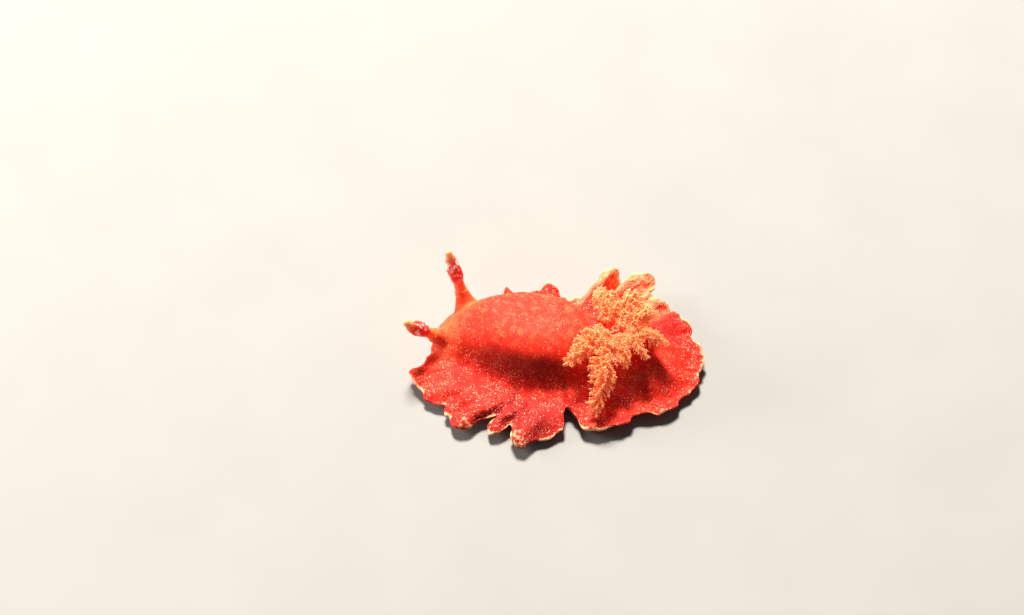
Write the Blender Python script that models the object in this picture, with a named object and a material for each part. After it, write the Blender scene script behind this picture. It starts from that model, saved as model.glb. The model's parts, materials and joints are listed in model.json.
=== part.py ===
"""A red dorid sea slug, Platydoris sanguinea, lying on the ground with its mantle spread.

The animal faces -X and its left side faces -Y. The sole of the foot lies at z = 0.
Angles on the mantle run round its centre from +X towards +Y.
"""
import random
from math import atan2, cos, exp, hypot, pi, radians, sin

import bmesh
import bpy
from mathutils import Matrix, Vector

MM = 0.001
GAP = 0.3 * MM
MERGE = 0.001 * MM

# The mantle's outline is an oval with lobes and bays on it.
MANTLE_CENTRE = Vector((1.0, -3.5)) * MM
MANTLE_HALF_LENGTH = 24.5 * MM
MANTLE_HALF_WIDTH = 15.0 * MM
MANTLE_SQUARES = 16
MANTLE_RINGS = (0.62, 0.71, 0.79, 0.86, 0.92, 0.97, 1.0)
BRIM_TOP = 3.0 * MM
MARGIN_TOP = 1.9 * MM
BRIM_THICKNESS = 1.15 * MM
MARGIN_THICKNESS = 0.5 * MM
LOWEST_SKIRT = 0.35 * MM

# Each wave of the margin: angle and spread in degrees, reach and lift in millimetres.
WAVE_POWER = 3
MARGIN_WAVES = (
    (178, 10, -2.9, 0.9),
    (160, 12, -2.0, 0.6),
    (138, 14, -1.9, 0.7),
    (111, 16, -1.0, 0.0),
    (111.5, 2.6, 0.9, 1.0),
    (92.5, 3.6, 1.4, 1.5),
    (84, 11, -2.0, 0.0),
    (71.0, 3.6, 2.6, 2.6),
    (65.3, 1.5, -1.0, -0.3),
    (64, 10, 0.0, 1.6),
    (59.5, 6.0, 3.3, 1.6),
    (55, 4, 1.6, 0.0),
    (47, 7, 0.7, 1.9),
    (30, 12, 0.1, 1.5),
    (14, 6, -0.8, 0.6),
    (3, 6, 0.4, 0.5),
    (340, 10, 0.5, -0.2),
    (318, 8, 1.0, -0.1),
    (304, 5, -0.8, 0.3),
    (290, 7, 0.8, 0.3),
    (276, 2.6, -4.6, 0.5),
    (267, 5, 0.4, -0.4),
    (263.5, 4, 1.6, -0.1),
    (257.3, 4.4, 3.6, -0.4),
    (251.3, 1.4, -0.7, 0.2),
    (246.8, 3.2, 2.3, -0.4),
    (241.2, 2.3, -1.8, 0.3),
    (234.8, 4.6, 3.5, -0.3),
    (226.8, 4.5, 1.9, -0.4),
    (212, 5, 1.5, -0.3),
    (200, 6, 1.0, 0.0),
    (193, 3, 0.6, 0.4),
)

# The left skirt is hollow beside the back and puffed up nearer its margin, and a valley runs along
# the raised right margin: angle and spread in degrees, share of the way out, its spread, height in
# millimetres.
SKIRT_SWELLS = (
    (238, 38, 0.62, 0.10, -0.7),
    (238, 40, 0.82, 0.11, 0.9),
    (36, 24, 0.80, 0.10, -0.8),
)

# The body's middle line in plan, and the humps of the back: place along the line, offset from it,
# half-length, half-width on the right and on the left, height over the brim, in millimetres, and
# how boxy the hump is.
AXIS_OFFSET = -0.9 * MM
AXIS_SLOPE = -0.16
HUMPS = (
    (-14.5, 0.8, 8.2, 6.8, 8.2, 4.1, 2.5),
    (-3.0, 0.2, 14.6, 8.3, 10.4, 6.9, 4.2),
    (12.0, -0.8, 12.0, 7.8, 9.3, 3.9, 2.8),
)
HUMP_STEEPNESS = 1.3
HUMP_BLEND = 4
HUMP_UNDERSIDE = 0.15

# The cuts that part the mantle into named pieces.
HEAD_CUT_X = -12.2 * MM
BACK_CUT_X = 3.4 * MM
CORE_CENTRE = Vector((2.5, -3.3)) * MM
CORE_HALF_LENGTH = 17.3 * MM
CORE_HALF_WIDTH = 8.3 * MM
CORE_SIDES = 30
SKIRTS = (
    ("skirt_left_front", 180, 277),
    ("skirt_left_rear", 277, 325),
    ("skirt_tail", 325, 380),
    ("skirt_right_rear", 20, 54),
    ("skirt_right_middle", 54, 76),
    ("skirt_right_front", 76, 180),
)

# The foot and the head under the mantle.
FOOT_CENTRE_X = 2.6 * MM
FOOT_HALF_LENGTH = 16.4 * MM
FOOT_HALF_WIDTH = 6.4 * MM
FOOT_HEIGHT = 1.4 * MM
FOOT_EDGE_HEIGHT = 0.7 * MM
FOOT_SQUARES = 4
FOOT_RINGS = (0.5, 0.8, 1.0)
FACING = Vector((-0.93, 0.37, 0.0)).normalized()
SNOUT_CENTRE = Vector((-14.7, 0.4, 1.35)) * MM
SNOUT_HALF_SIZE = Vector((3.0, 2.5, 1.0)) * MM
SNOUT_HOLLOW_DEPTH = 0.95 * MM
SNOUT_HOLLOW_SPREAD = 4.6 * MM
ORAL_TENTACLE_LENGTH = 1.6 * MM

# The rhinophores: root on the head, direction and length.
RHINOPHORES = (
    ("right", Vector((-14.5, 5.3, 5.6)) * MM, Vector((-0.29, 0.44, 0.85)), 9.5 * MM),
    ("left", Vector((-18.4, -1.1, 4.0)) * MM, Vector((-0.67, -0.20, 0.71)), 9.9 * MM),
)
SHEATH_RADIUS = 1.95 * MM
SHEATH_LIP_RADIUS = 1.3 * MM
SHEATH_BORE = 1.0 * MM
SHEATH_HEIGHT = 2.3 * MM
SHEATH_ROOT = 0.7 * MM
SHEATH_LOBES = 5
SHEATH_LOBE_HEIGHT = 0.2 * MM
STALK_RADIUS = 0.75 * MM
CLUB_RADIUS = 1.4 * MM
CLUB_START = 0.44
CLUB_END = 0.93
LAMELLAE = 7
LAMELLA_DEPTH = 0.22 * MM
LAMELLA_SLANT = 0.35 * MM

# The gills stand round the anal papilla in a pocket, in a ring that is open in front.
GILL_CENTRE = Vector((10.7, -3.0, 6.9)) * MM
POCKET_RADIUS = 3.05 * MM
POCKET_DEPTH = 0.9 * MM
POCKET_RIM = 0.5 * MM
POCKET_ROOT = 1.6 * MM
POCKET_SIDES = 24
GILL_BASE_HEIGHT = 0.9 * MM
GILL_RING = 2.05 * MM
GILL_ROOT_RISE = 0.35 * MM
GILL_ROOT_RADIUS = 0.42 * MM
GILL_TIP_RADIUS = 0.26 * MM
PAPILLA_RADIUS = 0.8 * MM
PAPILLA_HEIGHT = 1.9 * MM
# Each gill: azimuth in degrees, length, rise and droop in millimetres.
GILLS = (
    (108, 5.8, 1.7, 1.0),
    (62, 5.0, 1.8, 0.4),
    (22, 4.4, 1.9, 0.4),
    (-16, 6.0, 1.5, 1.2),
    (-47, 4.8, 1.5, 1.3),
    (-76, 4.6, 1.5, 1.5),
    (-104, 10.8, 1.6, 5.4),
    (-141, 7.0, 1.3, 1.6),
)
PINNA_PAIRS = 6
PINNA_LONGEST = 2.5 * MM
PINNA_WIDTH = 0.46 * MM
PINNA_THICKNESS = 0.36 * MM
PINNA_SWEEP = radians(55)

MANTLE_RED = (0.80, 0.055, 0.035)
CLUB_RED = (0.62, 0.045, 0.020)
GILL_ORANGE = (0.88, 0.24, 0.10)
FOOT_ORANGE = (0.85, 0.16, 0.06)


def material(name, colour, roughness):
    """A Principled material for wet skin."""
    made = bpy.data.materials.new(name)
    made.use_nodes = True
    shader = made.node_tree.nodes["Principled BSDF"]
    shader.inputs["Base Color"].default_value = (*colour, 1)
    shader.inputs["Roughness"].default_value = roughness
    shader.inputs["Metallic"].default_value = 0
    return made


def smooth(low, high, value):
    """Zero below low, one above high and a soft step between them."""
    share = min(max((value - low) / (high - low), 0), 1)
    return share * share * (3 - 2 * share)


def angle_between(first, second):
    """The smaller angle between two directions in degrees."""
    return abs((first - second + 180) % 360 - 180)


def margin_wave(angle, column):
    """The sum of the margin's waves at an angle, in metres: column 2 is reach and 3 is lift."""
    total = 0
    for wave in MARGIN_WAVES:
        total += wave[column] * exp(-(angle_between(angle, wave[0]) / wave[1]) ** WAVE_POWER)
    return total * MM


def hump_height(x, y):
    """How far the back stands over the brim at a place in plan."""
    total = 0
    for along, offset, half_length, right, left, height, fullness in HUMPS:
        middle = AXIS_OFFSET + AXIS_SLOPE * x + offset * MM
        width = right if y > middle else left
        q = hypot((x / MM - along) / half_length, (y - middle) / MM / width)
        if q < 1:
            total += (height * (1 - q ** fullness) ** HUMP_STEEPNESS) ** HUMP_BLEND
    return total ** (1 / HUMP_BLEND) * MM


def mantle_plan(angle, share):
    """The place in plan at a share of the way from the mantle's centre to its margin."""
    turn = radians(angle)
    oval = Vector((MANTLE_HALF_LENGTH * cos(turn), MANTLE_HALF_WIDTH * sin(turn)))
    stretch = 1 + margin_wave(angle, 2) / oval.length * share ** 2
    return MANTLE_CENTRE + oval * share * stretch


def brim_height(angle, share):
    """The top of the mantle without the humps of the back."""
    margin = MARGIN_TOP + margin_wave(angle, 3)
    swell = 0
    for middle, spread, out, width, height in SKIRT_SWELLS:
        away = (angle_between(angle, middle) / spread) ** 4 + ((share - out) / width) ** 2
        swell += height * MM * exp(-away)
    return BRIM_TOP + (margin - BRIM_TOP) * smooth(0.5, 1.0, share) + swell


def mantle_top(angle, share):
    """A point of the mantle's upper skin."""
    plan = mantle_plan(angle, share)
    hump = hump_height(*plan) * (1 - min(share, 1) ** 12)
    return Vector((*plan, brim_height(angle, share) + hump))


def mantle_bottom(angle, share):
    """A point of the mantle's lower skin, hollowed over the snout."""
    plan = mantle_plan(angle, share)
    thickness = BRIM_THICKNESS + (MARGIN_THICKNESS - BRIM_THICKNESS) * smooth(0.93, 1.0, share)
    hump = hump_height(*plan) * (1 - min(share, 1) ** 12)
    away = (plan - SNOUT_CENTRE.xy).length / SNOUT_HOLLOW_SPREAD
    hollow = SNOUT_HOLLOW_DEPTH * exp(-away ** 4) * (1 - smooth(0.75, 0.92, share))
    height = brim_height(angle, share) - thickness + HUMP_UNDERSIDE * hump + hollow
    return Vector((*plan, max(height, LOWEST_SKIRT)))


def disc_sheet(squares, shares):
    """A flat disc of radius one: nested squares bent round inside, then rings twice as fine."""
    bm = bmesh.new()
    bmesh.ops.create_grid(bm, x_segments=squares, y_segments=squares, size=1)
    for vert in bm.verts:
        u, v, _ = vert.co
        share = max(abs(u), abs(v))
        if share > 0:
            turn = pi / 4 * (v / u if abs(u) >= abs(v) else 2 - u / v)
            if (u if abs(u) >= abs(v) else v) < 0:
                turn += pi
            vert.co = Vector((cos(turn), sin(turn), 0)) * share * shares[0]
    rim = [edge for edge in bm.edges if edge.is_boundary]
    bmesh.ops.subdivide_edges(bm, edges=rim, cuts=1)
    rim = [edge for edge in bm.edges if edge.is_boundary]
    for vert in {vert for edge in rim for vert in edge.verts}:
        vert.co = vert.co.normalized() * shares[0]
    for share in shares[1:]:
        added = bmesh.ops.extrude_edge_only(bm, edges=rim)["geom"]
        rim = [item for item in added if isinstance(item, bmesh.types.BMEdge)]
        for item in added:
            if isinstance(item, bmesh.types.BMVert):
                item.co = item.co.normalized() * share
    bmesh.ops.triangulate(bm, faces=bm.faces[:])
    return bm


def closed_body(bm, top, bottom):
    """Bends a flat disc to an upper surface, with a lower one and a wall that close it."""
    upper = bm.verts[:]
    added = bmesh.ops.extrude_face_region(bm, geom=bm.faces[:])["geom"]
    lower = [item for item in added if isinstance(item, bmesh.types.BMVert)]
    for verts, surface in ((upper, top), (lower, bottom)):
        for vert in verts:
            angle = atan2(vert.co.y, vert.co.x) / pi * 180 % 360
            vert.co = surface(angle, vert.co.length)
    bmesh.ops.recalc_face_normals(bm, faces=bm.faces[:])
    return bm


def lathe(profile, sides):
    """A closed body turned round Z from (radius, height) pairs that start and end on the axis."""
    bm = bmesh.new()
    verts = [bm.verts.new((radius, 0, height)) for radius, height in profile]
    edges = [bm.edges.new(pair) for pair in zip(verts, verts[1:])]
    bmesh.ops.spin(bm, geom=verts + edges, cent=(0, 0, 0), axis=(0, 0, 1),
                   angle=2 * pi, steps=sides, use_merge=True)
    bmesh.ops.remove_doubles(bm, verts=bm.verts[:], dist=MERGE)
    bmesh.ops.recalc_face_normals(bm, faces=bm.faces[:])
    return bm


def ball(half_size, sides, rings):
    """An ellipsoid round the origin."""
    bm = bmesh.new()
    bmesh.ops.create_uvsphere(bm, u_segments=sides, v_segments=rings, radius=1)
    bmesh.ops.scale(bm, vec=half_size, verts=bm.verts[:])
    return bm


def trim(bm, point, normal):
    """Cuts off what lies beyond a plane and closes the cut."""
    everything = bm.verts[:] + bm.edges[:] + bm.faces[:]
    bmesh.ops.bisect_plane(bm, geom=everything, plane_co=point, plane_no=normal,
                           dist=MERGE / 10, clear_outer=True)
    rim = [edge for edge in bm.edges if edge.is_boundary]
    caps = bmesh.ops.holes_fill(bm, edges=rim, sides=0)["faces"]
    bmesh.ops.triangulate(bm, faces=caps)
    bmesh.ops.recalc_face_normals(bm, faces=bm.faces[:])


def keep_largest(bm):
    """Keeps the largest closed surface and drops loose scraps and sealed hollows."""
    waiting = set(bm.verts)
    groups = []
    while waiting:
        group = {waiting.pop()}
        front = list(group)
        while front:
            for edge in front.pop().link_edges:
                for vert in edge.verts:
                    if vert not in group:
                        group.add(vert)
                        front.append(vert)
        waiting -= group
        groups.append(group)
    groups.sort(key=len)
    scraps = [vert for group in groups[:-1] for vert in group]
    bmesh.ops.delete(bm, geom=scraps, context="VERTS")


def add_object(name, bm, collection, skin=None):
    """Makes a mesh object from a bmesh, with a material and smooth shading for a piece."""
    mesh = bpy.data.meshes.new(name)
    bm.to_mesh(mesh)
    bm.free()
    made = bpy.data.objects.new(name, mesh)
    collection.objects.link(made)
    if skin:
        mesh.materials.append(skin)
        mesh.shade_smooth()
        mesh.set_sharp_from_angle(angle=radians(50))
    return made


def evaluated_bmesh(source):
    """The mesh of an object with its modifiers, as a bmesh in world space."""
    mesh = bpy.data.meshes.new_from_object(source.evaluated_get(bpy.context.evaluated_depsgraph_get()))
    mesh.transform(source.matrix_world)
    bm = bmesh.new()
    bm.from_mesh(mesh)
    bpy.data.meshes.remove(mesh)
    return bm


def tube(points, radii, sides_resolution=0):
    """A closed tapered tube through points, as a bmesh made from a curve."""
    curve = bpy.data.curves.new("tube", "CURVE")
    curve.dimensions = "3D"
    curve.bevel_depth = 1
    curve.bevel_resolution = sides_resolution
    curve.use_fill_caps = True
    spline = curve.splines.new("POLY")
    spline.points.add(len(points) - 1)
    for place, point, radius in zip(spline.points, points, radii):
        place.co = (*point, 1)
        place.radius = radius
    holder = bpy.data.objects.new("tube", curve)
    bpy.context.scene.collection.objects.link(holder)
    bpy.context.view_layer.update()
    bm = evaluated_bmesh(holder)
    bmesh.ops.remove_doubles(bm, verts=bm.verts[:], dist=MERGE)
    bmesh.ops.recalc_face_normals(bm, faces=bm.faces[:])
    bpy.data.objects.remove(holder)
    bpy.data.curves.remove(curve)
    return bm


def combine(base, others, operation):
    """One Boolean of a closed bmesh with a list of closed ones. It frees them all."""
    scratch = bpy.data.collections.new("scratch")
    tools = bpy.data.collections.new("tools")
    bpy.context.scene.collection.children.link(scratch)
    scratch.children.link(tools)
    target = add_object("target", base, scratch)
    for other in others:
        add_object("tool", other, tools)
    boolean = target.modifiers.new("join", "BOOLEAN")
    boolean.operation = operation
    boolean.solver = "EXACT"
    boolean.operand_type = "COLLECTION"
    boolean.collection = tools
    bpy.context.view_layer.update()
    result = evaluated_bmesh(target)
    for group in (tools, scratch):
        for item in list(group.objects):
            mesh = item.data
            bpy.data.objects.remove(item)
            bpy.data.meshes.remove(mesh)
        bpy.data.collections.remove(group)
    bmesh.ops.triangulate(result, faces=result.faces[:])
    bmesh.ops.remove_doubles(result, verts=result.verts[:], dist=MERGE)
    bmesh.ops.dissolve_degenerate(result, dist=MERGE, edges=result.edges[:])
    keep_largest(result)
    return result


def axis_frame(direction, place):
    """A matrix that turns +Z to a direction and moves the origin to a place."""
    turn = direction.normalized().to_track_quat("Z", "X").to_matrix().to_4x4()
    return Matrix.Translation(place) @ turn


def core_column(spare):
    """The oval column that parts the back from the skirt, wider by spare."""
    bm = bmesh.new()
    bmesh.ops.create_cone(bm, segments=CORE_SIDES, radius1=1, radius2=1, depth=1, cap_ends=True)
    size = (CORE_HALF_LENGTH + spare, CORE_HALF_WIDTH + spare, 60 * MM)
    bmesh.ops.scale(bm, vec=size, verts=bm.verts[:])
    turn = Matrix.Rotation(atan2(AXIS_SLOPE, 1), 4, "Z")
    bmesh.ops.transform(bm, matrix=Matrix.Translation((*CORE_CENTRE, 0)) @ turn, verts=bm.verts[:])
    return bm


def sheath(root, direction):
    """The short collar that a rhinophore stands in, with small lobes on its lip."""
    top = SHEATH_HEIGHT
    profile = (
        (0, -SHEATH_ROOT),
        (SHEATH_RADIUS * 1.15, -SHEATH_ROOT),
        (SHEATH_RADIUS, 0.1 * top),
        (SHEATH_RADIUS * 0.82, 0.45 * top),
        (SHEATH_LIP_RADIUS, 0.85 * top),
        (SHEATH_LIP_RADIUS, top),
        (SHEATH_BORE, top),
        (SHEATH_BORE, top - GAP * 2),
        (0, top - GAP * 2),
    )
    bm = lathe(profile, 15)
    for vert in bm.verts:
        if vert.co.z > top * 0.9 and vert.co.xy.length > SHEATH_BORE * 0.9:
            vert.co.z += SHEATH_LOBE_HEIGHT * sin(SHEATH_LOBES * atan2(vert.co.y, vert.co.x))
    bmesh.ops.transform(bm, matrix=axis_frame(direction, root), verts=bm.verts[:])
    return bm


def mantle_pieces():
    """The mantle parted into the head, the two lengths of the back and the skirt's pieces."""
    whole = closed_body(disc_sheet(MANTLE_SQUARES, MANTLE_RINGS), mantle_top, mantle_bottom)
    along = Vector((1, 0, 0))
    head = whole.copy()
    trim(head, along * (HEAD_CUT_X - GAP / 2), along)
    body = whole.copy()
    trim(body, along * (HEAD_CUT_X + GAP / 2), -along)
    core = combine(body.copy(), [core_column(-GAP / 2)], "INTERSECT")
    back = core.copy()
    trim(back, along * (BACK_CUT_X - GAP / 2), along)
    rear = core
    trim(rear, along * (BACK_CUT_X + GAP / 2), -along)
    ring = combine(body, [core_column(GAP / 2)], "DIFFERENCE")
    whole.free()
    skirts = []
    for name, start, end in SKIRTS:
        piece = ring.copy()
        for angle, side in ((start, -1), (end, 1)):
            normal = Vector((-sin(radians(angle)), cos(radians(angle)), 0)) * side
            centre = Vector((*MANTLE_CENTRE, 0))
            trim(piece, centre - normal * GAP / 2, normal)
        keep_largest(piece)
        skirts.append((name, piece))
    ring.free()
    return head, back, rear, skirts


def make_head(head, collection, skin):
    """The front of the mantle with the collars of both rhinophores."""
    collars = [sheath(root, direction) for _, root, direction, _ in RHINOPHORES]
    add_object("head", combine(head, collars, "UNION"), collection, skin)


def make_rear(rear, collection, skin):
    """The rear of the back with the gill pocket and its raised rim."""
    profile = (
        (0, -POCKET_ROOT),
        (POCKET_RADIUS + 0.9 * MM, -POCKET_ROOT),
        (POCKET_RADIUS + 0.6 * MM, 0.1 * MM),
        (POCKET_RADIUS + 0.25 * MM, POCKET_RIM),
        (POCKET_RADIUS - 0.1 * MM, POCKET_RIM * 0.9),
        (0, POCKET_RIM * 0.9),
    )
    rim = lathe(profile, POCKET_SIDES)
    bmesh.ops.translate(rim, vec=GILL_CENTRE, verts=rim.verts[:])
    joined = combine(rear, [rim], "UNION")
    bore = bmesh.new()
    height = 4 * MM
    bmesh.ops.create_cone(bore, segments=POCKET_SIDES, radius1=POCKET_RADIUS, radius2=POCKET_RADIUS,
                          depth=height, cap_ends=True)
    lift = Vector((0, 0, height / 2 - POCKET_DEPTH))
    bmesh.ops.translate(bore, vec=GILL_CENTRE + lift, verts=bore.verts[:])
    add_object("rear_back", combine(joined, [bore], "DIFFERENCE"), collection, skin)


def make_foot(collection, skin):
    """The sole that the animal creeps on."""
    def plan(angle, share):
        turn = radians(angle)
        x = FOOT_CENTRE_X + FOOT_HALF_LENGTH * share * cos(turn)
        return x, AXIS_OFFSET + AXIS_SLOPE * x + FOOT_HALF_WIDTH * share * sin(turn)

    def top(angle, share):
        return Vector((*plan(angle, share), FOOT_HEIGHT + (FOOT_EDGE_HEIGHT - FOOT_HEIGHT) * share ** 6))

    def sole(angle, share):
        return Vector((*plan(angle, share), 0))

    foot = closed_body(disc_sheet(FOOT_SQUARES, FOOT_RINGS), top, sole)
    trim(foot, Vector((HEAD_CUT_X + GAP / 2, 0, 0)), Vector((-1, 0, 0)))
    add_object("foot", foot, collection, skin)


def make_snout(collection, skin):
    """The small head under the mantle with its mouth, and the feelers beside it."""
    snout = ball(SNOUT_HALF_SIZE, 14, 8)
    turn = FACING.to_track_quat("X", "Z").to_matrix().to_4x4()
    place = Matrix.Translation(SNOUT_CENTRE) @ turn
    bmesh.ops.transform(snout, matrix=place, verts=snout.verts[:])
    trim(snout, Vector((HEAD_CUT_X - GAP / 2, 0, 0)), Vector((1, 0, 0)))
    mouth = ball(Vector((1.0, 0.16, 0.55)) * MM, 12, 8)
    lips = Vector((SNOUT_HALF_SIZE.x, 0, -0.15 * MM))
    bmesh.ops.transform(mouth, matrix=place @ Matrix.Translation(lips), verts=mouth.verts[:])
    add_object("snout", combine(snout, [mouth], "DIFFERENCE"), collection, skin)
    for name, side in (("oral_tentacle_right", -1), ("oral_tentacle_left", 1)):
        points = []
        for step in range(6):
            share = step / 5
            ahead = SNOUT_HALF_SIZE.x * 0.5 + ORAL_TENTACLE_LENGTH * share * 0.8
            aside = SNOUT_HALF_SIZE.y + GAP + ORAL_TENTACLE_LENGTH * share * 0.25
            local = Vector((ahead, side * aside, -0.4 * MM))
            points.append(place @ local)
        radii = [0.38 * MM - 0.12 * MM * step / 5 for step in range(6)]
        add_object(name, tube(points, radii, 1), collection, skin)


def rhinophore_profile(length):
    """Radius and height along a rhinophore: a stalk, then a club of stacked plates."""
    club_start = CLUB_START * length
    club_end = CLUB_END * length
    foot = SHEATH_HEIGHT - GAP
    profile = [(0, foot), (STALK_RADIUS, foot), (STALK_RADIUS * 0.95, club_start - 0.5 * MM)]
    pitch = (club_end - club_start) / LAMELLAE
    for plate in range(LAMELLAE):
        share = (plate + 0.5) / LAMELLAE
        radius = CLUB_RADIUS * (1 - 0.62 * share ** 2) * (0.8 + 0.2 * smooth(0, 0.2, share))
        low = club_start + plate * pitch
        profile.append((radius - LAMELLA_DEPTH, low))
        profile.append((radius, low + pitch * 0.55))
    profile.append((0.34 * MM, club_end))
    profile.append((0.26 * MM, length - 0.15 * MM))
    profile.append((0, length))
    return profile


def make_rhinophores(collection, skin):
    """The two club-shaped feelers on the head."""
    for side, root, direction, length in RHINOPHORES:
        bm = lathe(rhinophore_profile(length), 12)
        for vert in bm.verts:
            share = smooth(0.40, 0.5, vert.co.z / length) * (1 - smooth(0.85, 0.93, vert.co.z / length))
            facing = cos(atan2(vert.co.y, vert.co.x))
            vert.co.z -= LAMELLA_SLANT * share * facing * vert.co.xy.length / CLUB_RADIUS
        bmesh.ops.transform(bm, matrix=axis_frame(direction, root), verts=bm.verts[:])
        add_object("rhinophore_" + side, bm, collection, skin)


def make_gill_base(collection, gill_skin, papilla_skin):
    """The cushion in the pocket that carries the gills, and the anal papilla on it."""
    floor = -POCKET_DEPTH + GAP
    top = floor + GILL_BASE_HEIGHT
    radius = POCKET_RADIUS - GAP
    bevel = 0.25 * MM
    base = lathe(((0, floor), (radius, floor), (radius, top - bevel), (radius - bevel, top), (0, top)),
                 POCKET_SIDES)
    bmesh.ops.translate(base, vec=GILL_CENTRE, verts=base.verts[:])
    add_object("gill_base", base, collection, gill_skin)
    start = top + GAP
    profile = (
        (0, start),
        (PAPILLA_RADIUS, start),
        (PAPILLA_RADIUS * 0.8, start + PAPILLA_HEIGHT * 0.6),
        (PAPILLA_RADIUS * 0.85, start + PAPILLA_HEIGHT),
        (PAPILLA_RADIUS * 0.4, start + PAPILLA_HEIGHT),
        (0, start + PAPILLA_HEIGHT * 0.8),
    )
    papilla = lathe(profile, 12)
    bmesh.ops.translate(papilla, vec=GILL_CENTRE, verts=papilla.verts[:])
    add_object("anal_papilla", papilla, collection, papilla_skin)


def gill_path(azimuth, length, rise, droop):
    """A function that gives the place along a gill's stem for a share of its length."""
    out = Vector((cos(radians(azimuth)), sin(radians(azimuth)), 0))
    start = GILL_CENTRE + Vector((0, 0, -POCKET_DEPTH + GILL_BASE_HEIGHT + 2 * GAP))

    def place(share):
        flat = start + out * (GILL_RING + length * MM * (0.18 * share + 0.82 * share ** 1.6))
        height = rise * MM * sin(pi * min(share * 1.25, 1) * 0.5) * 1.15 - droop * MM * share ** 2.4
        return flat + Vector((0, 0, height + GILL_ROOT_RISE * smooth(0, 0.11, share)))
    return place


def make_gills(collection, skin):
    """The feathered gills, each a bent stem with leaflets down both sides."""
    draw = random.Random(7)
    azimuths = [gill[0] for gill in GILLS]
    for number, (azimuth, length, rise, droop) in enumerate(GILLS):
        place = gill_path(azimuth, length, rise, droop)
        steps = 9
        points = [place(step / steps) for step in range(steps + 1)]
        radii = [GILL_ROOT_RADIUS + (GILL_TIP_RADIUS - GILL_ROOT_RADIUS) * step / steps
                 for step in range(steps + 1)]
        others = [angle_between(azimuth, other) for other in azimuths if other != azimuth]
        room = radians(min(others)) / 2
        leaflets = []
        for pair in range(PINNA_PAIRS):
            share = 0.34 + 0.60 * pair / (PINNA_PAIRS - 1)
            root = place(share)
            ahead = (place(share + 0.03) - root).normalized()
            aside = ahead.cross(Vector((0, 0, 1))).normalized()
            reach = (root - GILL_CENTRE).xy.length
            free = (reach * sin(room) - 0.3 * MM) / sin(PINNA_SWEEP)
            span = min(PINNA_LONGEST, free) * (1 - 0.45 * smooth(0.6, 1, share))
            for side in (-1, 1):
                long = span * draw.uniform(0.88, 1.0)
                lean = ahead * cos(PINNA_SWEEP) + aside * side * sin(PINNA_SWEEP)
                lean += Vector((0, 0, draw.uniform(0.05, 0.3)))
                leaf = ball(Vector((PINNA_WIDTH, PINNA_THICKNESS, long / 2)), 5, 4)
                turn = axis_frame(lean, root + lean.normalized() * (long / 2 - 0.1 * MM))
                bmesh.ops.transform(leaf, matrix=turn, verts=leaf.verts[:])
                leaflets.append(leaf)
        stem = tube(points, radii)
        add_object("gill_%d" % (number + 1), combine(stem, leaflets, "UNION"), collection, skin)


def main():
    """Clears the scene and builds the animal."""
    for old in list(bpy.data.objects):
        bpy.data.objects.remove(old)
    animal = bpy.data.collections.new("red_dorid")
    bpy.context.scene.collection.children.link(animal)
    mantle_skin = material("mantle_red", MANTLE_RED, 0.4)
    club_skin = material("club_red", CLUB_RED, 0.4)
    gill_skin = material("gill_orange", GILL_ORANGE, 0.45)
    foot_skin = material("foot_orange", FOOT_ORANGE, 0.45)
    head, back, rear, skirts = mantle_pieces()
    make_head(head, animal, mantle_skin)
    add_object("back", back, animal, mantle_skin)
    make_rear(rear, animal, mantle_skin)
    for name, piece in skirts:
        add_object(name, piece, animal, mantle_skin)
    make_foot(animal, foot_skin)
    make_snout(animal, foot_skin)
    make_rhinophores(animal, club_skin)
    make_gill_base(animal, gill_skin, mantle_skin)
    make_gills(animal, gill_skin)


main()
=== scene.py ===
# %% [markdown]
# # A red dorid sea slug, life size
#
# The animal is a flat sea slug whose broad red mantle spreads over its foot like a cloak, with a waved
# and lobed edge. It creeps with its head to the left, bent a little. Two clubbed feelers stand on the
# head, and a crown of feathered gills in a pocket near the tail.
#
# The solids come first, as a fixed frame. Everything made below goes where they are, in metres.

# %% The frame
import json
import random
from math import atan2, cos, exp, hypot, pi, radians, sin

import bmesh
import bpy
from mathutils import Matrix, Vector, noise

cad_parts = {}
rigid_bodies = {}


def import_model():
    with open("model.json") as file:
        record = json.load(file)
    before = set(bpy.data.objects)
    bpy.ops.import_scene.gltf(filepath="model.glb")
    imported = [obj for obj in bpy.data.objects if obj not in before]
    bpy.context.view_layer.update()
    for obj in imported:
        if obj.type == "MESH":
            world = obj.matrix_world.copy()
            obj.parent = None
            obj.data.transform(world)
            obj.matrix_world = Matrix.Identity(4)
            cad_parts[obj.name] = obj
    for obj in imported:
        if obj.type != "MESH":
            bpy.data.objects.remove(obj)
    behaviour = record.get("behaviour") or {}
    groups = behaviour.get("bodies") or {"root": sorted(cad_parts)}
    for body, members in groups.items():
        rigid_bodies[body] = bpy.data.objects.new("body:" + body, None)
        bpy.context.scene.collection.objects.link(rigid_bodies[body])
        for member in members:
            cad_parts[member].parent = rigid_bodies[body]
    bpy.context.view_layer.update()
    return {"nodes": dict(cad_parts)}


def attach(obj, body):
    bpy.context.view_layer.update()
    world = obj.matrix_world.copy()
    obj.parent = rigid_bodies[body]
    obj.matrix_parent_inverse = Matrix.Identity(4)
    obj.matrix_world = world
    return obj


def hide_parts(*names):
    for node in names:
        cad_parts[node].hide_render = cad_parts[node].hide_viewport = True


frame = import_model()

MM = 0.001
MERGE = 0.001 * MM
print("nodes in the frame:", len(frame["nodes"]))

# %% [markdown]
# ## The outline of the mantle
#
# On the real animal the mantle is one sheet of skin whose edge waves in and out and up and down. It could
# be sculpted, or drawn as a long curve of points. Here the edge is an oval and a short list of waves, so
# that each lobe and bay has a place, a width, a reach and a lift of its own.

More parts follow.
